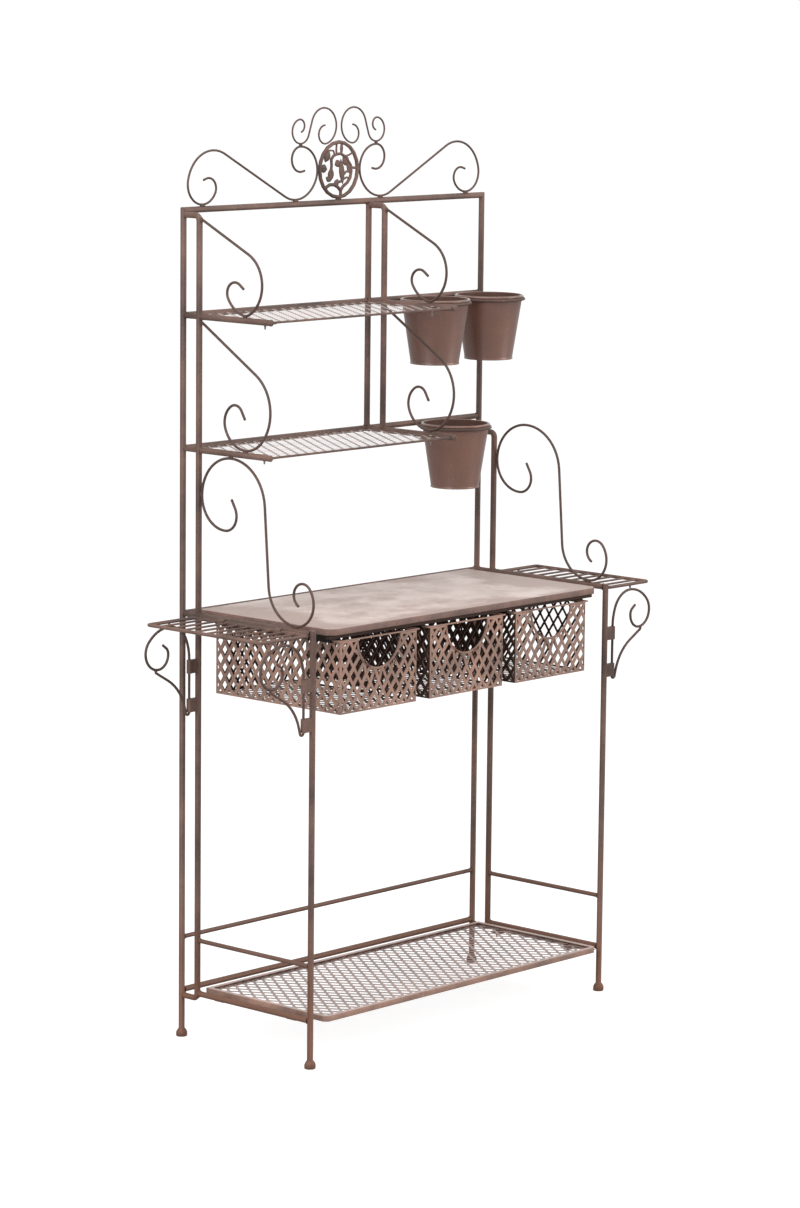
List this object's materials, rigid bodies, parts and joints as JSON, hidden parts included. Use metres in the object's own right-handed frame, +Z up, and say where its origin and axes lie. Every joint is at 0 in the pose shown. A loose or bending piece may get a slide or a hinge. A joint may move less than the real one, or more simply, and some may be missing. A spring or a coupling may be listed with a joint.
{
  "type": "plant rack",
  "caption": "Tall metal plant rack with a desk, mesh drawers, side shelves on arms, fold-up side leaves, scrolled wire crest and pots hung in rings, for potting and display.",
  "frame": {"origin": "on the floor under the middle of the rack", "axes": "+X to the right seen from the front, +Y to the back, +Z up"},
  "size_m": [1.1324, 0.3715, 1.7869],
  "materials": {
    "frame_paint": "worn brown paint",
    "scroll_iron": "dark brown paint",
    "basket_mesh": "matt brown paint",
    "black_steel": "matt black paint",
    "desk_sheet": "worn whitewashed paint with brown showing through",
    "pot_enamel": "worn reddish brown paint"
  },
  "bodies": {
    "frame": {"rear_leg_left": "frame_paint", "rear_leg_right": "frame_paint", "front_leg_left": "frame_paint", "front_leg_right": "frame_paint", "top_rail": "frame_paint", "upper_shelf_rail": "frame_paint", "lower_shelf_rail": "frame_paint", "desk_rear_rail": "frame_paint", "lower_back_rail": "frame_paint", "bottom_rear_rail": "frame_paint", "side_post_left": "frame_paint", "side_post_right": "frame_paint", "inner_rear_post_upper": "frame_paint", "inner_rear_post_lower": "frame_paint", "inner_front_post": "frame_paint", "desk_side_rail_left": "frame_paint", "desk_side_rail_right": "frame_paint", "mid_side_rail_left": "frame_paint", "mid_side_rail_right": "frame_paint", "bottom_side_rail_left": "frame_paint", "bottom_side_rail_right": "frame_paint", "upper_arm_left": "frame_paint", "upper_arm_inner": "frame_paint", "lower_arm_left": "frame_paint", "lower_arm_inner": "frame_paint", "upper_scroll_left": "scroll_iron", "upper_scroll_inner": "scroll_iron", "lower_scroll_left": "scroll_iron", "lower_scroll_inner": "scroll_iron", "big_scroll_left": "scroll_iron", "big_scroll_right": "scroll_iron", "crest_scroll_left": "scroll_iron", "crest_scroll_right": "scroll_iron", "crest_curl_left": "scroll_iron", "crest_curl_right": "scroll_iron", "medallion": "scroll_iron", "upper_shelf": "frame_paint", "lower_shelf": "frame_paint", "bottom_shelf": "frame_paint", "desk_top": "desk_sheet", "drawer_front_bar": "black_steel", "drawer_runner_1": "black_steel", "drawer_runner_2": "black_steel", "drawer_runner_3": "black_steel", "drawer_runner_4": "black_steel", "ring_upper_left": "frame_paint", "ring_upper_right": "frame_paint", "ring_lower": "frame_paint"},
    "drawer_left": {"drawer_left": "basket_mesh"},
    "drawer_middle": {"drawer_middle": "basket_mesh"},
    "drawer_right": {"drawer_right": "basket_mesh"},
    "leaf_left": {"leaf_left": "frame_paint"},
    "leaf_right": {"leaf_right": "frame_paint"},
    "bracket_rear_left": {"bracket_rear_left": "scroll_iron"},
    "bracket_rear_right": {"bracket_rear_right": "scroll_iron"},
    "bracket_front_left": {"bracket_front_left": "scroll_iron"},
    "bracket_front_right": {"bracket_front_right": "scroll_iron"},
    "pot_upper_left": {"pot_upper_left": "pot_enamel"},
    "pot_upper_right": {"pot_upper_right": "pot_enamel"},
    "pot_lower": {"pot_lower": "pot_enamel"}
  },
  "joints": [
    {"name": "drawer_left_slide", "type": "slide", "parent": "frame", "child": "drawer_left", "axis": [0, -1, 0], "range_m": [0, 0.25]},
    {"name": "drawer_middle_slide", "type": "slide", "parent": "frame", "child": "drawer_middle", "axis": [0, -1, 0], "range_m": [0, 0.25]},
    {"name": "drawer_right_slide", "type": "slide", "parent": "frame", "child": "drawer_right", "axis": [0, -1, 0], "range_m": [0, 0.25]},
    {"name": "leaf_left_hinge", "type": "hinge", "parent": "frame", "child": "leaf_left", "pos_m": [-0.438, 0.13, 0.829], "axis": [0, 1, 0], "range_deg": [0, 88]},
    {"name": "leaf_right_hinge", "type": "hinge", "parent": "frame", "child": "leaf_right", "pos_m": [0.438, 0.13, 0.829], "axis": [0, -1, 0], "range_deg": [0, 88]},
    {"name": "bracket_rear_left_hinge", "type": "hinge", "parent": "frame", "child": "bracket_rear_left", "pos_m": [-0.449, 0.132, 0.7], "axis": [0, 0, 1], "range_deg": [0, 90]},
    {"name": "bracket_rear_right_hinge", "type": "hinge", "parent": "frame", "child": "bracket_rear_right", "pos_m": [0.449, 0.132, 0.7], "axis": [0, 0, -1], "range_deg": [0, 90]},
    {"name": "bracket_front_left_hinge", "type": "hinge", "parent": "frame", "child": "bracket_front_left", "pos_m": [-0.449, -0.17, 0.7], "axis": [0, 0, -1], "range_deg": [0, 90]},
    {"name": "bracket_front_right_hinge", "type": "hinge", "parent": "frame", "child": "bracket_front_right", "pos_m": [0.449, -0.17, 0.7], "axis": [0, 0, 1], "range_deg": [0, 90]},
    {"name": "pot_upper_left_lift", "type": "slide", "parent": "frame", "child": "pot_upper_left", "axis": [0, 0, 1], "range_m": [0, 0.14]},
    {"name": "pot_upper_right_lift", "type": "slide", "parent": "frame", "child": "pot_upper_right", "axis": [0, 0, 1], "range_m": [0, 0.14]},
    {"name": "pot_lower_lift", "type": "slide", "parent": "frame", "child": "pot_lower", "axis": [0, 0, 1], "range_m": [0, 0.11]}
  ]
}
